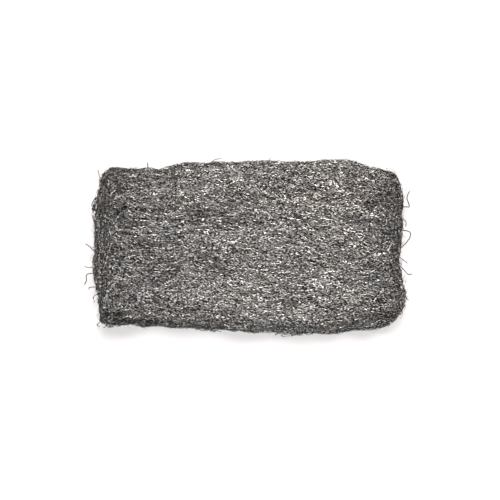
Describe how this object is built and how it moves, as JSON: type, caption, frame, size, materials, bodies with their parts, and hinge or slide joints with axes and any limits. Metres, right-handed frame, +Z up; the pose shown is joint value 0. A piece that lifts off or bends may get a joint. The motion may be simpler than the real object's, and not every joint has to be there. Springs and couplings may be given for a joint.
{
  "type": "steel wool pad",
  "caption": "Soft rectangular hand pad of wound steel wool ribbon, for scouring and rubbing down by hand.",
  "frame": {"origin": "middle of the flat underside that the pad lies on", "axes": "+X along the pad, from the left fold to the right fold; +Y across the pad, to the back raw edge; +Z up, through the pad's thickness"},
  "size_m": [0.111, 0.064, 0.0196],
  "materials": {
    "steel_wool": "tangled fine bare steel strands, dull grey with bright glints, a faint warm tint of rust at the back right"
  },
  "bodies": {
    "root": {"steel_wool_pad": "steel_wool"}
  },
  "joints": []
}
